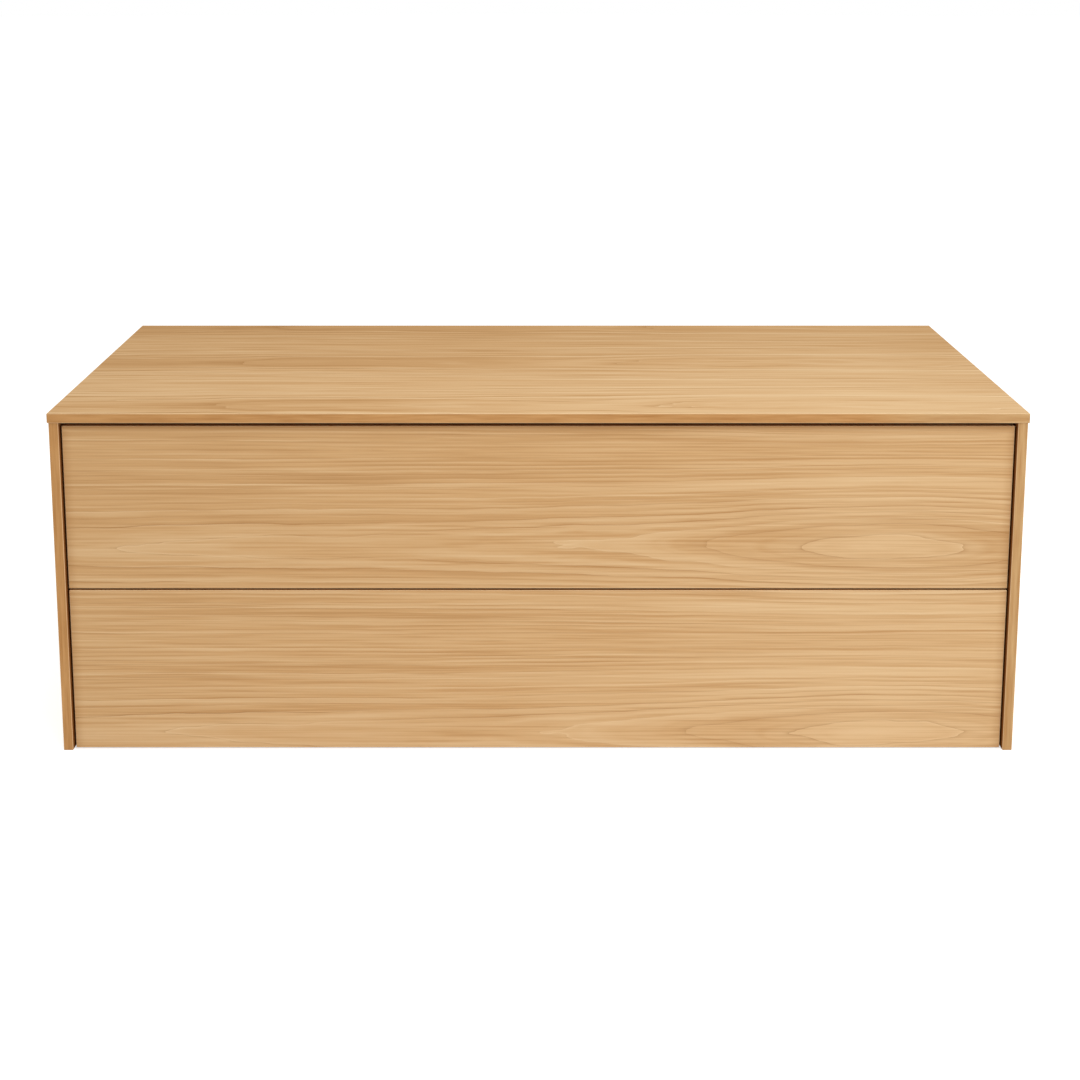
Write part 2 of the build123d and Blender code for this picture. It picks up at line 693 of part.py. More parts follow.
def drawer(level):
    """One drawer: its front, its box of boards on a grooved bottom, and its fasteners."""
    low_z = box_low_z[level]
    middle_y = (front_back_y + box_back_y) / 2
    box_front_y = front_back_y + box_board
    rear_board_y = box_back_y - box_board
    end_ys = ((front_back_y + box_front_y) / 2, (rear_board_y + box_back_y) / 2)
    dowel_zs = [low_z + box_height * share for share in box_dowel_shares]
    dowel_points = [(box_inner_x, y, z) for y in end_ys for z in dowel_zs]
    screw_points = [
        (front_width * across, low_z + box_height * up)
        for across in front_screw_shares
        for up in front_screw_height_shares
    ]

    with BuildPart() as front:
        with BuildSketch(Plane.XZ.offset(-front_back_y)):
            with Locations((0, front_low_z[level] + front_height / 2)):
                Rectangle(front_width, front_height)
        extrude(amount=front_thickness)
        fillet(front.edges(), arris_radius)
        with Locations(*facing((0, 1, 0), [(x, front_back_y, z) for x, z in screw_points])):
            Hole(screw_radius + hole_play, front_screw_length - box_board + end_play)
    keep(front, f"{level}_drawer_front")

    right_board = grooved_board(
        box_board, box_back_y - front_back_y, box_outer_x - box_board / 2, middle_y, low_z, (-1, 0)
    )
    with BuildPart() as box_right_side:
        add(right_board.part)
        with Locations(*facing((-1, 0, 0), dowel_points)):
            Hole(box_dowel_radius + hole_play, box_dowel_side_depth + end_play)
        with Locations(*facing((1, 0, 0), drawer_screw_points(level))):
            screw_seat(short_screw_length + end_play)
    keep(box_right_side, f"{level}_box_right_side")
    keep(mirrored(box_right_side), f"{level}_box_left_side")

    end_hole = box_dowel_length - box_dowel_side_depth + end_play
    end_boards = [
        grooved_board(2 * box_inner_x, box_board, 0, y, low_z, (0, side))
        for y, side in zip(end_ys, (1, -1))
    ]
    with BuildPart() as box_front:
        add(end_boards[0].part)
        for hand in (1, -1):
            ends = [(hand * x, y, z) for x, y, z in dowel_points if y == end_ys[0]]
            with Locations(*facing((hand, 0, 0), ends)):
                Hole(box_dowel_radius + hole_play, end_hole)
        with Locations(*facing((0, 1, 0), [(x, box_front_y, z) for x, z in screw_points])):
            screw_seat(box_board + overrun)
    keep(box_front, f"{level}_box_front")

    with BuildPart() as box_back:
        add(end_boards[1].part)
        for hand in (1, -1):
            ends = [(hand * x, y, z) for x, y, z in dowel_points if y == end_ys[1]]
            with Locations(*facing((hand, 0, 0), ends)):
                Hole(box_dowel_radius + hole_play, end_hole)
    keep(box_back, f"{level}_box_back")

    reach = box_groove_depth - panel_play
    bottom_low_z = low_z + box_bottom_rise
    with BuildPart() as box_bottom:
        with BuildSketch(Plane.XY.offset(bottom_low_z)):
            with Locations((0, middle_y)):
                Rectangle(2 * (box_inner_x + reach), rear_board_y - box_front_y + 2 * reach)
        extrude(amount=box_bottom_thickness)
    keep(box_bottom, f"{level}_box_bottom")

    with BuildPart() as bottom_batten:
        with BuildSketch(Plane.XY.offset(low_z)):
            with Locations((0, middle_y)):
                Rectangle(batten_width, rear_board_y - box_front_y)
        extrude(amount=box_bottom_rise)
    keep(bottom_batten, f"{level}_bottom_batten")

    box_dowel = dowel(box_dowel_radius, box_dowel_length, box_dowel_side_depth)
    right_dowels = copies(box_dowel, facing((-1, 0, 0), dowel_points))
    keep(both_sides(right_dowels), f"{level}_box_dowels")

    front_screw_planes = facing((0, 1, 0), [(x, box_front_y, z) for x, z in screw_points])
    keep(copies(wood_screw(front_screw_length), front_screw_planes), f"{level}_front_screws")


for level in ("upper", "lower"):
    runner(level)
    drawer(level)
    keep(both_sides(latch_plunger(level)), f"{level}_latch_plungers")
    keep(both_sides(latch_spring(level)), f"{level}_latch_springs")

upper_housing = latch_housing("upper")
lower_housing = latch_housing("lower")
with BuildPart() as right_latch_housings:
    add(upper_housing.part)
    add(lower_housing.part)
keep(both_sides(right_latch_housings), "latch_housings")
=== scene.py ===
"""Dresses a packed two-drawer chest: veneer, boards, runners, latches, springs and a white studio.

The file is laid out as an add-on and run as a script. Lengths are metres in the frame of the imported
part: the origin on the floor under the middle of the chest, +X along its width, +Y to its back and
+Z up. The solids are never moved. They get their finishes here, and the latch springs their coils.
"""

import math

import bpy
import numpy as np
from bpy.props import FloatProperty, FloatVectorProperty, IntProperty, PointerProperty
from bpy.types import Operator, Panel, PropertyGroup
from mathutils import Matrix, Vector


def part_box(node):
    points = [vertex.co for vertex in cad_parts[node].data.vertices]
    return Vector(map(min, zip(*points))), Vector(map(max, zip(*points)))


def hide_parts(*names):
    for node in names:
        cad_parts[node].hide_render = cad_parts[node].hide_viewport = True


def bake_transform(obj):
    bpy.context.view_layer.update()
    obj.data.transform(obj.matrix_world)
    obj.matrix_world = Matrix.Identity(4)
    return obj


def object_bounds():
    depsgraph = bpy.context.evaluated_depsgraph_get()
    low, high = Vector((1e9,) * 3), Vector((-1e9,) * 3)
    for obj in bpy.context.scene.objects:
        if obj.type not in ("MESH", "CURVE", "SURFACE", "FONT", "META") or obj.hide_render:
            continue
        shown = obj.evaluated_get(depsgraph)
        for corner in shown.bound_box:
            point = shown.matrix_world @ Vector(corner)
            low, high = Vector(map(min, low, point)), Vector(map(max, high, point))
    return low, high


bl_info = {
    "name": "Two-drawer chest",
    "version": (1, 0, 0),
    "blender": (4, 5, 0),
    "location": "View3D > Sidebar > Chest",
    "description": "Dresses a two-drawer chest with veneer, plain boards, steel and plastic",
    "category": "Object",
}

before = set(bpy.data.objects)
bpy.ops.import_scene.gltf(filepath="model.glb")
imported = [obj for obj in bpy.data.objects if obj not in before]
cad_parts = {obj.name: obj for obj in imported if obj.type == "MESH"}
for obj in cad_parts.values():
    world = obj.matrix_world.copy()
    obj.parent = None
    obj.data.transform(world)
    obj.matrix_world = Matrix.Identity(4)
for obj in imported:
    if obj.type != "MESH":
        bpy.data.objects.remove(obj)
cad_box = [list(corner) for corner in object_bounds()]

LEVELS = ("upper", "lower")
HANDS = ("left", "right")
ORIGIN = (0.0, 0.0, 0.0)
WHITE = (1.0, 1.0, 1.0)


# Settings that a user may change


def display(red, green, blue):
    """A colour as a screen shows it, 0 to 255, as the linear value that a shader reads."""
    shares = (red / 255, green / 255, blue / 255)
    return tuple(s / 12.92 if s <= 0.04045 else ((s + 0.055) / 1.055) ** 2.4 for s in shares)


def colour(name, description, default):
    """A colour that a user may change."""
    return FloatVectorProperty(
        name=name, description=description, subtype="COLOR", size=3, min=0, max=1, default=default
    )


def length(name, description, default):
    """A length in metres that a user may change."""
    return FloatProperty(
        name=name, description=description, unit="LENGTH", precision=5, default=default
    )


def spot(name, description, default):
    """A place in metres that a user may change."""
    return FloatVectorProperty(
        name=name, description=description, subtype="XYZ", unit="LENGTH", default=default
    )


def factor(name, description, default):
    """A share from 0 to 1 that a user may change."""
    return FloatProperty(
        name=name, description=description, subtype="FACTOR", min=0, max=1, default=default
    )


def power(name, description, default):
    """The power of a lamp in watts that a user may change."""
    return FloatProperty(name=name, description=description, unit="POWER", min=0, default=default)


class VeneerSettings(PropertyGroup):
    """Colours and growth rings of the veneer on the top, the sides and the drawer fronts."""

    wood: colour("Wood", "Colour between the ring lines", display(208, 165, 115))
    line: colour("Line", "Colour of the strongest ring lines", display(160, 110, 60))
    # The glow colour is also that of the painted highlight on the arrises
    glow: colour("Glow", "Colour of the pale bands beside the lines", display(230, 198, 154))
    lipping: colour("Lipping", "Colour of the edges of the boards", display(209, 160, 105))
    # Painted light: the lipping lighter at the right of the chest, where the light is brighter
    lipping_pale: colour("Pale lipping", "Edges at the right of the chest", display(211, 173, 123))
    lipping_line: colour("Lipping line", "Colour of the edges' streaks", display(167, 114, 63))
    # Partly painted shade: a plain veneer for the inner faces, made darker so the gaps read as shade
    backing: colour("Backing", "Plain veneer on the inner faces", display(156, 100, 50))
    leaf_width: length("Leaf width", "Width of one leaf of veneer, from crown to crown", 0.246)
    ring_width: length("Ring width", "Growth of the tree in one year", 0.0052)
    line_width: length("Line width", "Growth over which a ring's dark line fades", 0.0011)
    crown_depth: length("Crown depth", "Depth of the tree's pith under the leaf's crown", 0.058)
    contrast: FloatProperty(
        name="Contrast", description="Strength of the figure", default=1.5, min=0
    )
    grain_depth: length("Grain depth", "Depth of the grain under the lacquer", 0.00005)
    roughness: factor("Roughness", "Of the lacquer", 0.5)


class BoardSettings(PropertyGroup):
    """Colours of the plain boards inside the chest and of the drawer boxes."""

    carcass: colour("Carcass board", "Bottom, back and rails", display(206, 172, 128))
    carcass_line: colour("Carcass line", "Ring lines of those boards", display(178, 138, 92))
    box: colour("Box wood", "Boards of the drawer boxes", display(226, 200, 160))
    box_line: colour("Box line", "Ring lines of the box boards", display(198, 164, 118))
    dowel: colour("Dowel", "Turned dowels", display(214, 184, 140))
    dowel_line: colour("Dowel line", "Streaks in the dowels", display(190, 152, 104))
    grain_depth: length("Grain depth", "Depth of the grain in the boards", 0.00005)
    roughness: factor("Roughness", "Of the boards", 0.55)


class FittingSettings(PropertyGroup):
    """Colours of the steel and plastic fittings, and the coils of the latch springs."""

    runner: colour("Runner steel", "Folded, zinc-plated steel", (0.55, 0.56, 0.58))
    cage: colour("Cage steel", "Thin strip that holds the balls", (0.52, 0.52, 0.52))
    ball: colour("Ball steel", "Polished balls", (0.78, 0.78, 0.78))
    screw: colour("Screw steel", "Zinc-plated screws and bolts", (0.60, 0.60, 0.60))
    cam: colour("Cam zinc", "Die-cast cams", (0.56, 0.56, 0.57))
    spring: colour("Spring steel", "Drawn wire", (0.50, 0.50, 0.51))
    latch: colour("Latch plastic", "Moulded housings and plungers", (0.30, 0.30, 0.31))
    wire: length("Spring wire", "Diameter of the springs' wire", 0.0008)
    turns: IntProperty(
        name="Spring turns", description="Turns of each spring", default=14, min=4, max=40
    )


class StageSettings(PropertyGroup):
    """Camera, lamps and floor."""

    floor: colour("Floor", "Plain floor", (0.92, 0.92, 0.92))
    floor_glow: factor("Floor glow", "Added for the camera so that the floor is white", 0.55)
    floor_radius: length("Floor radius", "Radius of the round floor", 40.0)
    sky: factor("Sky", "Even light from all round", 0.61)
    key: power("Key lamp", "Power of the large lamp", 37.0)
    key_size: length("Key size", "Side of the large lamp", 3.0)
    key_place: spot("Key place", "Middle of the large lamp", (2.3, -2.5, 1.7))
    over: power("Overhead", "Power of the lamp above", 20.5)
    over_size: length("Overhead size", "Side of the lamp above", 1.6)
    over_place: spot("Overhead place", "Middle of the lamp above", (0.2, -1.0, 2.4))
    eye: spot("Eye", "Place of the camera", (-0.0154, -2.3693, 0.9647))
    tilt: FloatProperty(
        name="Tilt", description="Camera below level", subtype="ANGLE", default=math.radians(10.004)
    )
    lens: FloatProperty(name="Lens", description="Focal length in millimetres", default=58.904)
    shift_across: FloatProperty(
        name="Shift across", description="Lens shift to the side, in frame widths", default=0.0133
    )
    shift_down: FloatProperty(
        name="Shift down", description="Lens shift downwards, in frame widths", default=0.235
    )


# Nodes


class Signal:
    """A value that changes over a surface, from a node's output, so that sums read as a formula."""

    def __init__(self, tree, socket):
        self.tree = tree
        self.socket = socket

    def through(self, operation, *others):
        """This value put through one Math node."""
        node = self.tree.nodes.new("ShaderNodeMath")
        node.operation = operation
        for socket, value in zip(node.inputs, (self, *others)):
            feed(self.tree, socket, value)
        return Signal(self.tree, node.outputs[0])

    def __add__(self, other):
        return self.through("ADD", other)

    def __sub__(self, other):
        return self.through("SUBTRACT", other)

    def __mul__(self, other):
        return self.through("MULTIPLY", other)

    def __truediv__(self, other):
        return self.through("DIVIDE", other)

    def __neg__(self):
        return self.through("MULTIPLY", -1.0)

    def rest(self):
        """1 less this value."""
        return -self + 1.0

    def ramp(self, low, high):
        """A smooth step from 0 at low to 1 at high."""
        node = self.tree.nodes.new("ShaderNodeMapRange")
        node.interpolation_type = "SMOOTHSTEP"
        feed(self.tree, node.inputs["Value"], self)
        node.inputs["From Min"].default_value = low
        node.inputs["From Max"].default_value = high
        return Signal(self.tree, node.outputs["Result"])


def feed(tree, socket, value):
    """Join a socket to a signal or an output, or set it to a plain value."""
    if isinstance(value, Signal):
        tree.links.new(value.socket, socket)
    elif isinstance(value, bpy.types.NodeSocket):
        tree.links.new(value, socket)
    else:
        socket.default_value = value


def axes(tree, vector):
    """The three parts of a vector as signals."""
    node = tree.nodes.new("ShaderNodeSeparateXYZ")
    tree.links.new(vector, node.inputs[0])
    return [Signal(tree, socket) for socket in node.outputs]


def noise(tree, x, y, z, detail=2.0):
    """Smooth noise about 0, mostly within half a unit, at a place given in its own cycles."""
    place = tree.nodes.new("ShaderNodeCombineXYZ")
    for socket, value in zip(place.inputs, (x, y, z)):
        feed(tree, socket, value)
    node = tree.nodes.new("ShaderNodeTexNoise")
    node.inputs["Scale"].default_value = 1.0
    node.inputs["Detail"].default_value = detail
    tree.links.new(place.outputs[0], node.inputs["Vector"])
    return (Signal(tree, node.outputs["Fac"]) - 0.5) * 2.0


def chance(tree, number):
    """A share from 0 to 1 that is different for each whole number."""
    node = tree.nodes.new("ShaderNodeTexWhiteNoise")
    node.noise_dimensions = "1D"
    feed(tree, node.inputs["W"], number)
    return Signal(tree, node.outputs["Value"])


# The Mix node's sockets for colours come after those for numbers and vectors
MIX_SHARE, MIX_FIRST, MIX_SECOND, MIX_RESULT = 0, 6, 7, 2


def blend(tree, share, first, second):
    """A colour between two others, the second where the share is 1."""
    node = tree.nodes.new("ShaderNodeMix")
    node.data_type = "RGBA"
    feed(tree, node.inputs[MIX_SHARE], share)
    feed(tree, node.inputs[MIX_FIRST], first)
    feed(tree, node.inputs[MIX_SECOND], second)
    return node.outputs[MIX_RESULT]


def opaque(shade):
    """A colour of three parts with full alpha, as a colour socket takes it."""
    return (*shade, 1.0)


def new_material(name, **plain):
    """A material, its tree and its Principled shader, whose plain sockets are set."""
    material = bpy.data.materials.new(name)
    material.use_nodes = True
    tree = material.node_tree
    shader = next(node for node in tree.nodes if node.type == "BSDF_PRINCIPLED")
    for socket, value in plain.items():
        shader.inputs[socket.replace("_", " ")].default_value = value
    return material, tree, shader


def new_group(name, inputs, outputs):
    """An empty shader group with the named sockets, its inputs by name and its output node."""
    group = bpy.data.node_groups.new(name, "ShaderNodeTree")
    for socket, kind in inputs:
        group.interface.new_socket(name=socket, in_out="INPUT", socket_type=f"NodeSocket{kind}")
    for socket, kind in outputs:
        group.interface.new_socket(name=socket, in_out="OUTPUT", socket_type=f"NodeSocket{kind}")
    entry = group.nodes.new("NodeGroupInput")
    leave = group.nodes.new("NodeGroupOutput")
    return group, {socket.name: socket for socket in entry.outputs if socket.name}, leave


def place_group(tree, make, **values):
    """A group node in a material, with its inputs set or joined by name.

    The group is made the first time that a material asks for it, and has its maker's name.
    """
    node = tree.nodes.new("ShaderNodeGroup")
    node.node_tree = bpy.data.node_groups.get(make.__name__) or make()
    for name, value in values.items():
        feed(tree, node.inputs[name.replace("_", " ")], value)
    return node


# Growth rings


# Noises of the rings: cycles a metre along the grain, cycles a metre across it, and what is added
# to the seed so that no two are alike
BEND = (2.6, 7.0, 0.0)
WAVE = (3.2, 12.0, 4.0)
SHIVER = (14.0, 60.0, 6.0)
# The same with cycles a ring across the grain
FADE = (2.0, 2.7, 9.0)
ZONE = (0.9, 0.13, 17.0)
BAND = (0.8, 0.42, 15.0)
STREAK = (1.5, 1.6, 21.0)
# Cycles a metre of the fibre, along and across
FIBRE_ALONG, FIBRE_ACROSS = 6.0, 360.0

# Rings by which the wave and the shiver move a line, and the fewest rings in a metre
WAVE_RINGS, SHIVER_RINGS = 0.7, 0.24
FEWEST_RINGS = 20.0

# Strength of a dark line's sharp and soft parts, and the power by which the soft part grows
SHARP_LINE, SOFT_LINE, SOFT_POWER = 0.34, 0.18, 4.0
# Least force of a year's line, and the middle and spread of its strength along the grain
LEAST_FORCE, FADE_MIDDLE, FADE_SPREAD = 0.3, 0.6, 0.9
# Strength of the lines at the joints of leaves, and what they gain at the crown
JOINT_STRENGTH, CROWN_GAIN = 0.7, 0.35
# What makes the chances of the pale lines differ from those of the dark ones
PALE_STEP, PALE_SALT = 1.7, 31.0

# What the dark lines gain and the pale ones lose by the zones, bands, streaks and fibre
NOISE_SHARES = ((0.2, 0.2), (0.1, 0.25), (0.16, 0.4), (0.3, 0.4))
# Strength of a pale line
PALE_LINE = 0.6
# Strength of the figure off an island, and what it loses with each ring of one
FULL_STRENGTH, ISLAND_LOSS = 1.12, 0.1
# How far an island's pale heart reaches towards the joints, and how pale each ring makes it
HEART_REACH, HEART_GLOW = 0.6, 0.09
# Share of a paler tone by which the lines get weaker
TONE_LOSS = 0.3


def ring_figure():
    """The group that draws growth rings on leaves of veneer.

    A leaf lies in the plane of Place, x along the grain and y across it. Leaves lie side by side,
    so y wraps at a leaf's width, and v is the distance from the leaf's crown. Near is 1 less the
    square of v in half widths: 1 at the crown and 0 at the joints.

    The number of a ring is a level, less the distance from the pith beyond the crown's depth over
    the width of a ring. That distance is the root of v squared and depth squared. The level is
    Start, plus the rings of an island, less those of a falling end, plus noise times Wander, all
    times near. An island and an end are bells along x: their rings over 1 plus the square of the
    distance in their lengths. Islands close the rings, as where the knife came nearer to the pith.
    A wave and a shiver, which are noise as well, are added everywhere.

    The whole part of the number is the year, and the rest of it is the share of that year's growth.
    A dark line ends each year. Its sharp part falls off with the distance before the year's end, by
    an exponential, and its soft part is a power of the share. Distances are shares over the rings
    in a metre: the root of the squares of the number's slope across the grain and of the fewest
    rings. Each year has a force by chance, fades in and out along the grain, and is stronger near
    the crown. A pale line starts each year and falls off by the same exponential.

    Zones, bands and streaks are noise that follows the rings, and the fibre is noise along x. They
    darken the dark lines and weaken the pale ones. Contrast strengthens both, and less on an
    island. The ground gets paler by the heart of an island and by Tone, which changes across the
    grain by Tone Slope. Grain is the strength of the dark lines.
    """
    measures = (
        "Seed", "Leaf Width", "Ring Width", "Line Width", "Crown Depth",
        "Island Place", "Island Length", "Island Rings", "End Place", "End Length", "End Rings",
        "Start", "Wander", "Tone", "Tone Slope", "Contrast",
    )
    group, given, leave = new_group(
        "ring_figure",
        (
            ("Place", "Vector"),
            *((measure, "Float") for measure in measures),
            ("Wood", "Color"), ("Line", "Color"), ("Glow", "Color"),
        ),
        (("Color", "Color"), ("Grain", "Float")),
    )
    value = {measure: Signal(group, given[measure]) for measure in measures}
    x, y, z = axes(group, given["Place"])
    seed, depth, ring = value["Seed"], value["Crown Depth"], value["Ring Width"]

    def cloud(across, cycles, detail=2.0):
        """Noise drawn out along the grain."""
        along_cycles, across_cycles, salt = cycles
        return noise(group, x * along_cycles, across * across_cycles, seed + salt, detail)

    def bell(kind):
        """The rings of an island or of an end along x."""
        away = (x - value[f"{kind} Place"]) / value[f"{kind} Length"]
        return value[f"{kind} Rings"] / (away * away + 1.0)

    half = value["Leaf Width"] * 0.5
    v = y.through("WRAP", half, -half)
    out = v / half
    near = (out * out).rest()
    pith = (v * v + depth * depth).through("SQRT")
    island = bell("Island")
    level = (island - bell("End") + cloud(v, BEND) * value["Wander"] + value["Start"]) * near
    bent = level + cloud(y, WAVE) * WAVE_RINGS + cloud(y, SHIVER) * SHIVER_RINGS
    number = bent - (pith - depth) / ring

    year = number.through("FLOOR")
    share = number.through("FRACT")
    slope = v / (pith * ring)
    per_metre = (slope * slope + FEWEST_RINGS**2).through("SQRT")
    before = share.rest() / per_metre
    after = share / per_metre
    force = chance(group, year + seed) * (1.0 - LEAST_FORCE) + LEAST_FORCE
    fade = cloud(year, FADE, detail=1.0) * FADE_SPREAD + FADE_MIDDLE
    sharp = (-before / value["Line Width"]).through("EXPONENT") * SHARP_LINE
    soft = share.through("POWER", SOFT_POWER) * SOFT_LINE
    dark = (sharp + soft) * force * fade * (near * CROWN_GAIN + JOINT_STRENGTH)
    luck = chance(group, year * PALE_STEP + seed + PALE_SALT)
    pale = (-after / value["Line Width"]).through("EXPONENT") * luck * fade

    fibre = noise(group, x * FIBRE_ALONG, y * FIBRE_ACROSS, z * FIBRE_ACROSS + seed, detail=3.0)
    clouds = (cloud(number, ZONE), cloud(number, BAND), cloud(number, STREAK), fibre)
    darker, paler = dark, pale * PALE_LINE
    for mist, (gain, loss) in zip(clouds, NOISE_SHARES):
        darker = darker + mist * gain
        paler = paler - mist * loss
    strength = value["Contrast"] * (island * -ISLAND_LOSS + FULL_STRENGTH)
    tone = y * value["Tone Slope"] + value["Tone"]
    heart = island * (near + HEART_REACH) * HEART_GLOW
    lines = darker * strength - tone * TONE_LOSS
    glows = paler * strength + heart + tone

    ground = blend(group, glows, given["Wood"], given["Glow"])
    group.links.new(blend(group, lines, ground, given["Line"]), leave.inputs["Color"])
    feed(group, leave.inputs["Grain"], lines)
    return group


# Cycles of the broad streaks along and across, as shares of those of the fine ones
BROAD_ALONG, BROAD_ACROSS = 0.3, 0.25
# Strength of the fine and the broad streaks, and the middle that they lie about
FINE_STREAKS, BROAD_STREAKS, STREAK_MIDDLE = 0.5, 0.45, 0.4


def streak_figure():
    """The group that draws straight streaks along x of Place, for edges, dowels, metal and plastic.

    The streak is noise drawn out along x, with the cycles a metre that Along and Across give, and
    broader noise under it, about a middle. It blends the two colours and is put out as well.
    """
    group, given, leave = new_group(
        "streak_figure",
        (
            ("Place", "Vector"), ("Along", "Float"), ("Across", "Float"),
            ("First", "Color"), ("Second", "Color"),
        ),
        (("Color", "Color"), ("Streak", "Float")),
    )
    x, y, z = axes(group, given["Place"])
    along = x * Signal(group, given["Along"])
    across = [side * Signal(group, given["Across"]) for side in (y, z)]
    fine = noise(group, along, *across, detail=3.0)
    broad = noise(group, along * BROAD_ALONG, *(side * BROAD_ACROSS for side in across))
    streak = fine * FINE_STREAKS + broad * BROAD_STREAKS + STREAK_MIDDLE
    shade = blend(group, streak, given["First"], given["Second"])
    group.links.new(shade, leave.inputs["Color"])
    feed(group, leave.inputs["Streak"], streak)
    return group


# Turns that lay the grain or the streaks of a piece along x, and the face of a board in the plane
# of x and y
FLAT = (0, 0, 0)
UPRIGHT = (-math.pi / 2, 0, 0)
ON_END = (0, math.pi / 2, 0)
FORE_AND_AFT = (0, math.pi / 2, math.pi / 2)
LENGTHWISE = (0, 0, -math.pi / 2)


def turned(tree, turn, origin=ORIGIN):
    """Object coordinates from the origin, turned so that x runs along a piece's grain."""
    surface = tree.nodes.new("ShaderNodeTexCoord")
    shift = tree.nodes.new("ShaderNodeVectorMath")
    shift.operation = "SUBTRACT"
    shift.inputs[1].default_value = origin
    node = tree.nodes.new("ShaderNodeMapping")
    node.vector_type = "POINT"
    node.inputs["Rotation"].default_value = turn
    tree.links.new(surface.outputs["Object"], shift.inputs[0])
    tree.links.new(shift.outputs[0], node.inputs["Vector"])
    return node.outputs[0]


def streaks(tree, place, cycles, first, second):
    """A streak figure between two colours, with its cycles a metre along and across the grain."""
    along, across = cycles
    return place_group(
        tree, streak_figure, Place=place, Along=along, Across=across, First=first, Second=second
    )


def sink(tree, shader, grain, depth):
    """Shade a surface as if its grain lay lower than the rest, by a value times a depth."""
    node = tree.nodes.new("ShaderNodeBump")
    node.inputs["Strength"].default_value = 1.0
    node.inputs["Distance"].default_value = depth
    feed(tree, node.inputs["Height"], -Signal(tree, grain))
    tree.links.new(node.outputs["Normal"], shader.inputs["Normal"])


def dress(material, *names):
    """Give CAD nodes one material."""
    for name in names:
        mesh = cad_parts[name].data
        mesh.materials.clear()
        mesh.materials.append(material)


# Veneer


# How the rings run on each kind of board: an island and a falling end by their places, lengths and
# rings, the rings at the start, how much noise bends them, and how pale the ground is
FRONT_FIGURE = dict(
    Seed=3.0, Island_Place=0.43, Island_Length=0.25, Island_Rings=3.45,
    End_Place=-0.8, End_Length=0.1, End_Rings=2.5, Start=1.1, Wander=0.3, Tone_Slope=-0.6,
)
TOP_FIGURE = dict(
    Seed=11.0, Island_Place=0.5, Island_Length=0.5, Island_Rings=2.0,
    End_Length=1.0, End_Rings=0.0, Start=0.6, Wander=1.8, Tone=0.27, Tone_Slope=-0.9,
)
SIDE_FIGURE = dict(
    Seed=23.0, Island_Place=0.3, Island_Length=0.3, Island_Rings=3.0,
    End_Length=1.0, End_Rings=0.0, Wander=0.5,
)
# The top's rings are wider and bolder than those of the fronts, and the sides' are fainter
TOP_COARSENESS, TOP_BOLDNESS, SIDE_BOLDNESS = 2.0, 1.3, 0.55

# Where the crown of a leaf lies: above the foot of the upper front, behind the front of the top and
# behind the middle of the sides
FRONT_CROWN, TOP_CROWN, SIDE_CROWN = 0.0546, 0.04, 0.03

# Shares of the normal along the face axis: over the first pair an edge turns into a face, and over
# the other two the arris between them comes and goes
EDGE_TO_FACE = (0.6, 0.8)
ARRIS_COMES, ARRIS_GOES = (0.1, 0.4), (0.85, 0.99)
# Painted highlight on the eased arris: how far it turns to the colour of the pale bands
ARRIS_HIGHLIGHT = 0.8

# Places along the chest between which the lipping is painted paler, as painted light that is
# brighter at the right, and its cycles a metre along and across the grain
LIT_LIPPING = (0.38, 0.5)
LIPPING_CYCLES = (24.0, 420.0)

# Painted shade: the fronts darker at their ends, in the side panels' shade, and at the head of the
# upper front, in the shade of the top. How far it reaches in from the ends, how far beyond them it
# would be at its strongest, and how strong that is, and its reach and strength at the head
END_SHADE_REACH, END_SHADE_BEYOND, END_SHADE = 0.014, 0.004, 0.35
HEAD_SHADE_REACH, HEAD_SHADE = 0.008, 0.6

# What the dark lines add to the roughness
GRAIN_ROUGHNESS = 0.15


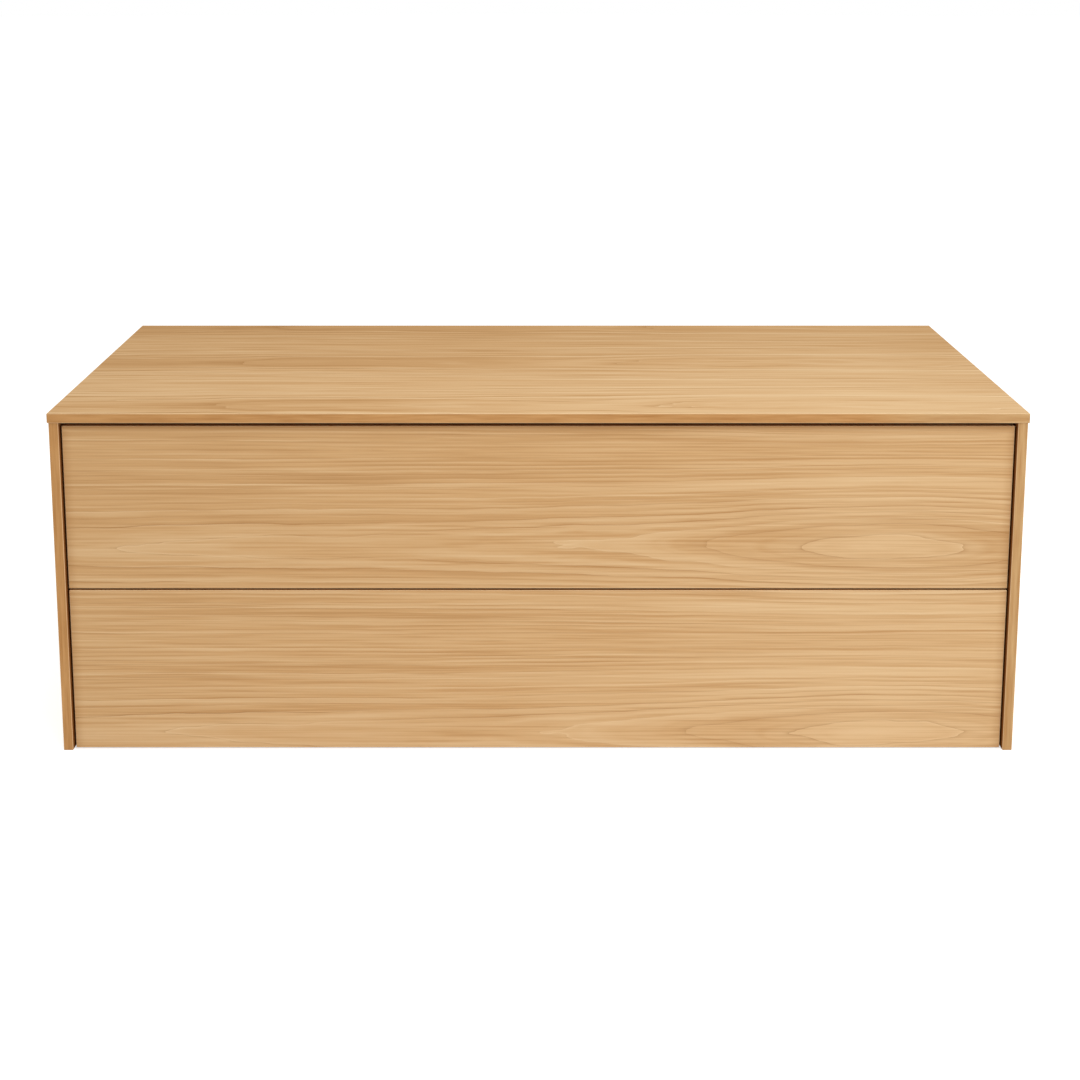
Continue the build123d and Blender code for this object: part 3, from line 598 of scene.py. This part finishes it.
def veneered(
    name, settings, figure, turn, crown, face_axis, outward=None,
    coarseness=1.0, boldness=1.0, shaded_corner=None,
):
    """A veneered board with lipped edges, which show where the surface turns from the face axis.

    The figure holds values of the ring figure by their names. The crown is a point on the crown of
    one leaf. Outward is the way that the shown face looks along the face axis, or nothing for
    boards that look away from the chest's middle. The other face has a plain veneer, darker than
    the face, as painted shade in the gaps between the parts. Coarseness widens the rings and
    boldness strengthens them. The shaded corner is the upper right corner of the upper of two
    fronts: both get painted shade at their ends, and the upper one at its head, where the side
    panels and the top shade them. The eased arris between face and edge is painted paler than
    both, a painted highlight, and the lipping is painted lighter at the right, as painted light.
    """
    material, tree, shader = new_material(name, Specular_IOR_Level=0.0)
    place = turned(tree, turn, crown)
    rings = place_group(
        tree,
        ring_figure,
        Place=place,
        Leaf_Width=settings.leaf_width,
        Ring_Width=settings.ring_width * coarseness,
        Line_Width=settings.line_width * coarseness,
        Crown_Depth=settings.crown_depth,
        Contrast=settings.contrast * boldness,
        Wood=opaque(settings.wood),
        Line=opaque(settings.line),
        Glow=opaque(settings.glow),
        **figure,
    )
    surface = tree.nodes.new("ShaderNodeTexCoord")
    where = axes(tree, surface.outputs["Object"])
    # Painted light: the lipping lighter towards the right
    right = where[0].ramp(*LIT_LIPPING)
    strip = blend(tree, right, opaque(settings.lipping), opaque(settings.lipping_pale))
    lipping = streaks(tree, place, LIPPING_CYCLES, strip, opaque(settings.lipping_line))

    veneer = rings.outputs["Color"]
    # Painted shade: the fronts darker at their ends and the upper one at its head
    if shaded_corner is not None:
        side = where[0].through("ABSOLUTE")
        ends = side.ramp(shaded_corner.x - END_SHADE_REACH, shaded_corner.x + END_SHADE_BEYOND) * END_SHADE
        head = where[2].ramp(shaded_corner.z - HEAD_SHADE_REACH, shaded_corner.z) * HEAD_SHADE
        veneer = blend(tree, ends.through("MAXIMUM", head), veneer, opaque(settings.line))
    if outward is None:
        outward = where[face_axis].through("SIGN")
    outer = axes(tree, surface.outputs["Normal"])[face_axis] * outward
    facing = outer.through("ABSOLUTE")
    edge = facing.ramp(*EDGE_TO_FACE).rest()
    arris = facing.ramp(*ARRIS_COMES) * facing.ramp(*ARRIS_GOES).rest()
    # The inner face gets the darker plain veneer, partly painted shade in the gaps
    face = blend(tree, (-outer).ramp(*EDGE_TO_FACE), veneer, opaque(settings.backing))
    board = blend(tree, edge, face, lipping.outputs["Color"])
    # Painted highlight: the arris painted towards the pale bands' colour
    shade = blend(tree, arris * ARRIS_HIGHLIGHT, board, opaque(settings.glow))

    grain = rings.outputs["Grain"]
    tree.links.new(shade, shader.inputs["Base Color"])
    gloss = Signal(tree, grain) * GRAIN_ROUGHNESS + settings.roughness
    feed(tree, shader.inputs["Roughness"], gloss)
    sink(tree, shader, grain, settings.grain_depth)
    return material


class CHEST_OT_veneer(Operator):
    """Veneer the top, the side panels and the drawer fronts."""

    bl_idname = "chest.veneer"
    bl_label = "Veneer"

    def execute(self, context):
        settings = context.scene.chest_veneer
        front_low, front_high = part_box("upper_drawer_front")
        # The upper front's upper right corner bounds the painted shade at the fronts' ends and head
        fronts = veneered(
            "front_veneer", settings, FRONT_FIGURE, turn=UPRIGHT, face_axis=1, outward=-1.0,
            crown=(0.0, front_low.y, front_low.z + FRONT_CROWN), shaded_corner=front_high,
        )
        dress(fronts, *(f"{level}_drawer_front" for level in LEVELS))
        top_low, top_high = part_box("top_panel")
        top = veneered(
            "top_veneer", settings, TOP_FIGURE, turn=FLAT, face_axis=2, outward=1.0,
            crown=(0.0, top_low.y + TOP_CROWN, top_high.z),
            coarseness=TOP_COARSENESS, boldness=TOP_BOLDNESS,
        )
        dress(top, "top_panel")
        sides = veneered(
            "side_veneer", settings, SIDE_FIGURE, turn=ON_END, face_axis=0,
            crown=(0.0, SIDE_CROWN, 0.0), boldness=SIDE_BOLDNESS,
        )
        dress(sides, *(f"{hand}_side_panel" for hand in HANDS))
        return {"FINISHED"}


# Plain boards and drawer boxes


# Rings of the plain boards, faint and without a falling end
PLAIN_FIGURE = dict(
    Leaf_Width=0.19, Ring_Width=0.005, Line_Width=0.0011, Crown_Depth=0.06, Contrast=1.1,
    Island_Place=-0.2, Island_Length=0.5, Island_Rings=3.0,
    End_Length=1.0, End_Rings=0.0, Wander=0.5,
)
# Cycles a metre of the dowels' streaks, along and across
DOWEL_CYCLES = (40.0, 900.0)


def plain_board(name, settings, wood, line, turn, seed, origin=ORIGIN):
    """A board of plain timber with faint rings, a leaf's crown at the origin."""
    material, tree, shader = new_material(
        name, Roughness=settings.roughness, Specular_IOR_Level=0.25
    )
    rings = place_group(
        tree,
        ring_figure,
        Place=turned(tree, turn, origin),
        Seed=seed,
        Wood=opaque(wood),
        Line=opaque(line),
        Glow=opaque(wood),
        **PLAIN_FIGURE,
    )
    tree.links.new(rings.outputs["Color"], shader.inputs["Base Color"])
    sink(tree, shader, rings.outputs["Grain"], settings.grain_depth)
    return material


class CHEST_OT_boards(Operator):
    """Give the bottom, the back and the rails their plain board."""

    bl_idname = "chest.boards"
    bl_label = "Carcass boards"

    def execute(self, context):
        settings = context.scene.chest_boards
        shades = (settings, settings.carcass, settings.carcass_line)
        flat = plain_board("carcass_board", *shades, turn=FLAT, seed=5.0, origin=(0.0, 0.05, 0.0))
        dress(flat, "bottom_panel", "front_top_rail", "rear_top_rail")
        upright = plain_board("back_board", *shades, turn=UPRIGHT, seed=6.0, origin=(0.0, 0.0, 0.2))
        dress(upright, "back_panel")
        return {"FINISHED"}


class CHEST_OT_boxes(Operator):
    """Give the drawer boxes their pale wood, along each board's grain, and the dowels theirs."""

    bl_idname = "chest.boxes"
    bl_label = "Drawer boxes"

    def execute(self, context):
        settings = context.scene.chest_boards
        shades = (settings, settings.box, settings.box_line)
        crown = (0.0, 0.0, 0.12)
        ends = plain_board("box_end_wood", *shades, turn=UPRIGHT, seed=7.0, origin=crown)
        sides = plain_board("box_side_wood", *shades, turn=FORE_AND_AFT, seed=8.0, origin=crown)
        floors = plain_board("box_floor_wood", *shades, turn=FLAT, seed=9.0)
        for level in LEVELS:
            dress(ends, f"{level}_box_front", f"{level}_box_back")
            dress(sides, f"{level}_box_left_side", f"{level}_box_right_side")
            dress(floors, f"{level}_box_bottom", f"{level}_bottom_batten")
        dowel, tree, shader = new_material("dowel_wood", Roughness=settings.roughness)
        shades = (opaque(settings.dowel), opaque(settings.dowel_line))
        figure = streaks(tree, turned(tree, FLAT), DOWEL_CYCLES, *shades)
        tree.links.new(figure.outputs["Color"], shader.inputs["Base Color"])
        dress(dowel, "wood_dowels", *(f"{level}_box_dowels" for level in LEVELS))
        return {"FINISHED"}


# Metal and plastic


# How dark the streaks are against the ground
STEEL_STREAK, PLASTIC_STREAK = 0.86, 0.9
# Roughness of a steel off its streaks, and what the streaks add, as shares of its own roughness
STEEL_SMOOTH, STEEL_SPREAD = 0.8, 0.4
# The same of the plastic, as roughness itself
PLASTIC_SMOOTH, PLASTIC_SPREAD = 0.45, 0.15


def streaky(name, shade, streak, cycles, turn, smooth, spread, **plain):
    """A finish whose streaks are darker than its ground, by a share, and rougher, by a spread."""
    material, tree, shader = new_material(name, **plain)
    dull = tuple(part * streak for part in shade)
    figure = streaks(tree, turned(tree, turn), cycles, opaque(shade), opaque(dull))
    tree.links.new(figure.outputs["Color"], shader.inputs["Base Color"])
    gloss = Signal(tree, figure.outputs["Streak"]) * spread + smooth
    feed(tree, shader.inputs["Roughness"], gloss)
    return material


def steel(name, shade, roughness, cycles, turn=FLAT):
    """Bright metal with fine streaks from rolling, drawing or casting."""
    smooth, spread = roughness * STEEL_SMOOTH, roughness * STEEL_SPREAD
    return streaky(name, shade, STEEL_STREAK, cycles, turn, smooth, spread, Metallic=1.0)


class CHEST_OT_runners(Operator):
    """Give the runners, ball cages and balls their steels."""

    bl_idname = "chest.runners"
    bl_label = "Runners"

    def execute(self, context):
        settings = context.scene.chest_fittings
        runner = steel(
            "runner_steel", settings.runner, roughness=0.34, cycles=(6.0, 900.0), turn=LENGTHWISE
        )
        cage = steel(
            "cage_steel", settings.cage, roughness=0.42, cycles=(8.0, 1200.0), turn=LENGTHWISE
        )
        ball = steel("ball_steel", settings.ball, roughness=0.1, cycles=(300.0, 300.0))
        for level in LEVELS:
            for member in ("cabinet", "middle", "drawer"):
                dress(runner, *(f"{level}_{hand}_{member}_runner" for hand in HANDS))
            for row in ("outer", "inner"):
                dress(cage, f"{level}_{row}_cages")
                dress(ball, f"{level}_{row}_balls")
        return {"FINISHED"}


class CHEST_OT_fasteners(Operator):
    """Give the screws, bolts and cams their metals."""

    bl_idname = "chest.fasteners"
    bl_label = "Fasteners"

    def execute(self, context):
        settings = context.scene.chest_fittings
        screw = steel("screw_steel", settings.screw, roughness=0.38, cycles=(500.0, 500.0))
        dress(screw, "top_screws", "back_screws", "cabinet_runner_screws", "latch_screws")
        dress(screw, "cam_bolts")
        for level in LEVELS:
            dress(screw, f"{level}_front_screws", f"{level}_drawer_runner_screws")
        cam = steel("cam_zinc", settings.cam, roughness=0.5, cycles=(350.0, 350.0))
        dress(cam, "cam_housings")
        return {"FINISHED"}


class CHEST_OT_latches(Operator):
    """Give the latch housings and plungers their moulded plastic."""

    bl_idname = "chest.latches"
    bl_label = "Latches"

    def execute(self, context):
        settings = context.scene.chest_fittings
        plastic = streaky(
            "latch_plastic", settings.latch, PLASTIC_STREAK, (700.0, 700.0), FLAT,
            PLASTIC_SMOOTH, PLASTIC_SPREAD, Specular_IOR_Level=0.4,
        )
        dress(plastic, "latch_housings", *(f"{level}_latch_plungers" for level in LEVELS))
        return {"FINISHED"}


# Latch springs


# Share of a spring's length by which the end turns are drawn together
END_CLOSING = 0.08
# Points round the wire, and sections in a turn
WIRE_POINTS, TURN_SECTIONS = 10, 24


def coil(radius, wire, start, end, centre, turns):
    """Points of a coil spring along Y, as a grid of sections along its wire.

    The wire's middle turns about the centre at the radius, its angle even along the wire. Along Y
    it goes from start to end by the share of the wire less a sine of that share's full turn, so
    that the end turns lie close, as ground ends do. Each section is a circle of the wire's radius,
    laid in the radial direction and the one square to it and to the wire.
    """
    share = np.linspace(0.0, 1.0, turns * TURN_SECTIONS + 1)[:, None]
    angle = 2 * np.pi * turns * share
    rise = share - END_CLOSING * np.sin(2 * np.pi * share)
    radial = np.concatenate([np.cos(angle), np.zeros_like(angle), np.sin(angle)], axis=1)
    middle = radius * radial + np.array([centre[0], 0.0, centre[1]])
    middle[:, 1:2] += start + (end - start) * rise
    tangent = np.gradient(middle, axis=0)
    tangent /= np.linalg.norm(tangent, axis=1, keepdims=True)
    binormal = np.cross(tangent, radial)
    turn = np.linspace(0.0, 2 * np.pi, WIRE_POINTS, endpoint=False)[None, :, None]
    ring = np.cos(turn) * radial[:, None, :] + np.sin(turn) * binormal[:, None, :]
    return middle[:, None, :] + wire / 2 * ring


def tube_faces(sections, around, first):
    """Quads between the sections of a tube, its points numbered from first, and its end caps."""
    rows = np.arange(sections - 1)[:, None] * around
    here = np.arange(around)[None, :]
    after = (here + 1) % around
    corners = (rows + here, rows + after, rows + around + after, rows + around + here)
    quads = first + np.stack(corners, axis=-1).reshape(-1, 4)
    start = first + np.arange(around)[::-1]
    end = first + (sections - 1) * around + np.arange(around)
    return quads.tolist() + [start.tolist(), end.tolist()]


class CHEST_OT_springs(Operator):
    """Wind the coil springs of the latches, which stretch between the carcass and the plungers."""

    bl_idname = "chest.springs"
    bl_label = "Latch springs"

    def execute(self, context):
        settings = context.scene.chest_fittings
        material = steel("spring_steel", settings.spring, roughness=0.35, cycles=(800.0, 800.0))
        for level in LEVELS:
            node = f"{level}_latch_springs"
            low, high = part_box(node)
            outer = (high.z - low.z) / 2
            height = (low.z + high.z) / 2
            radius = outer - settings.wire / 2
            ends = (high.y - settings.wire / 2, low.y + settings.wire / 2)
            points, faces = [], []
            for axis_x in (low.x + outer, high.x - outer):
                grid = coil(radius, settings.wire, *ends, (axis_x, height), settings.turns)
                faces += tube_faces(*grid.shape[:2], sum(len(part) for part in points))
                points.append(grid.reshape(-1, 3))
            mesh = bpy.data.meshes.new(f"{level}_latch_coils")
            mesh.from_pydata(np.concatenate(points).tolist(), [], faces)
            mesh.polygons.foreach_set("use_smooth", [True] * len(mesh.polygons))
            mesh.update()
            spring = bpy.data.objects.new(f"{level}_latch_coils", mesh)
            context.scene.collection.objects.link(spring)
            spring.data.materials.append(material)
            dress(material, node)
            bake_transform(spring)
            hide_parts(node)
        return {"FINISHED"}


# Stage


FLOOR_CORNERS = 96
# Width of the camera's sensor in millimetres
SENSOR_WIDTH = 36.0


def seen_directly(tree):
    """1 for rays from the camera, a mirror or glass, and 0 for light that scatters."""
    path = tree.nodes.new("ShaderNodeLightPath")
    kinds = ("Camera", "Glossy", "Transmission")
    camera, mirror, glass = (Signal(tree, path.outputs[f"Is {kind} Ray"]) for kind in kinds)
    return camera.through("MAXIMUM", mirror).through("MAXIMUM", glass)


class CHEST_OT_stage(Operator):
    """Set up the white floor, the sky, the lamps and the camera."""

    bl_idname = "chest.stage"
    bl_label = "Stage"

    def execute(self, context):
        settings = context.scene.chest_stage
        self.lay_floor(context, settings)
        self.light_sky(context, settings)
        middle = (np.array(cad_box[0]) + np.array(cad_box[1])) / 2
        below = np.array(settings.over_place) * (1.0, 1.0, 0.0)
        key = (settings.key, settings.key_size, settings.key_place)
        self.hang_lamp(context, "key_lamp", *key, middle)
        over = (settings.over, settings.over_size, settings.over_place)
        self.hang_lamp(context, "overhead", *over, below)
        self.set_camera(context, settings)
        return {"FINISHED"}

    def lay_floor(self, context, settings):
        """A round floor under the chest, white to the camera except where the chest shades it."""
        turn = np.linspace(0.0, 2 * np.pi, FLOOR_CORNERS, endpoint=False)
        circle = np.stack([np.cos(turn), np.sin(turn), np.zeros_like(turn)], axis=1)
        rim = circle * settings.floor_radius
        mesh = bpy.data.meshes.new("floor")
        mesh.from_pydata(rim.tolist(), [], [list(range(len(rim)))])
        floor = bpy.data.objects.new("floor", mesh)
        context.scene.collection.objects.link(floor)
        material, tree, shader = new_material("white_floor", Roughness=1.0, Specular_IOR_Level=0.0)
        shader.inputs["Base Color"].default_value = opaque(settings.floor)
        shader.inputs["Emission Color"].default_value = opaque(WHITE)
        feed(tree, shader.inputs["Emission Strength"], seen_directly(tree) * settings.floor_glow)
        mesh.materials.append(material)

    def light_sky(self, context, settings):
        """Even light from all round, and plain white where the sky itself is seen."""
        world = bpy.data.worlds.new("sky")
        world.use_nodes = True
        tree = world.node_tree
        light = next(node for node in tree.nodes if node.type == "BACKGROUND")
        light.inputs["Color"].default_value = opaque(WHITE)
        strength = seen_directly(tree) * (1.0 - settings.sky) + settings.sky
        feed(tree, light.inputs["Strength"], strength)
        context.scene.world = world

    def hang_lamp(self, context, name, watts, side, place, target):
        """A square lamp at a place, turned to its target."""
        data = bpy.data.lights.new(name, "AREA")
        data.energy = watts
        data.size = side
        lamp = bpy.data.objects.new(name, data)
        away = np.array(place) - target
        lean = math.atan2(math.hypot(away[0], away[1]), away[2])
        lamp.location = place
        lamp.rotation_euler = (lean, 0.0, math.atan2(away[0], -away[1]))
        context.scene.collection.objects.link(lamp)

    def set_camera(self, context, settings):
        """A camera a little above the chest, looking slightly down with its lens shifted down."""
        data = bpy.data.cameras.new("camera")
        data.sensor_width = SENSOR_WIDTH
        data.lens = settings.lens
        data.shift_x = settings.shift_across
        data.shift_y = -settings.shift_down
        camera = bpy.data.objects.new("camera", data)
        camera.location = settings.eye
        camera.rotation_euler = (math.pi / 2 - settings.tilt, 0.0, 0.0)
        context.scene.collection.objects.link(camera)
        context.scene.camera = camera
        context.scene.view_settings.view_transform = "Standard"


class CHEST_PT_panel(Panel):
    """The steps that dress the chest."""

    bl_label = "Chest"
    bl_space_type = "VIEW_3D"
    bl_region_type = "UI"
    bl_category = "Chest"

    def draw(self, context):
        for step in STEPS:
            self.layout.operator(step.bl_idname)


STEPS = (
    CHEST_OT_veneer, CHEST_OT_boards, CHEST_OT_boxes, CHEST_OT_runners, CHEST_OT_fasteners,
    CHEST_OT_latches, CHEST_OT_springs, CHEST_OT_stage,
)
SETTINGS = {
    "chest_veneer": VeneerSettings,
    "chest_boards": BoardSettings,
    "chest_fittings": FittingSettings,
    "chest_stage": StageSettings,
}


def register():
    """Make the settings, steps and panel known, and hang the settings on the scene."""
    for group in (*SETTINGS.values(), *STEPS, CHEST_PT_panel):
        bpy.utils.register_class(group)
    for name, group in SETTINGS.items():
        setattr(bpy.types.Scene, name, PointerProperty(type=group))


def unregister():
    """Take the settings off the scene, and forget the panel, steps and settings."""
    for name in SETTINGS:
        delattr(bpy.types.Scene, name)
    for group in (CHEST_PT_panel, *reversed(STEPS), *SETTINGS.values()):
        bpy.utils.unregister_class(group)


def main():
    """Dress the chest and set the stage."""
    register()
    bpy.ops.chest.veneer()
    bpy.ops.chest.boards()
    bpy.ops.chest.boxes()
    bpy.ops.chest.runners()
    bpy.ops.chest.fasteners()
    bpy.ops.chest.latches()
    bpy.ops.chest.springs()
    bpy.ops.chest.stage()
    bpy.context.view_layer.update()


if __name__ == "__main__":
    main()
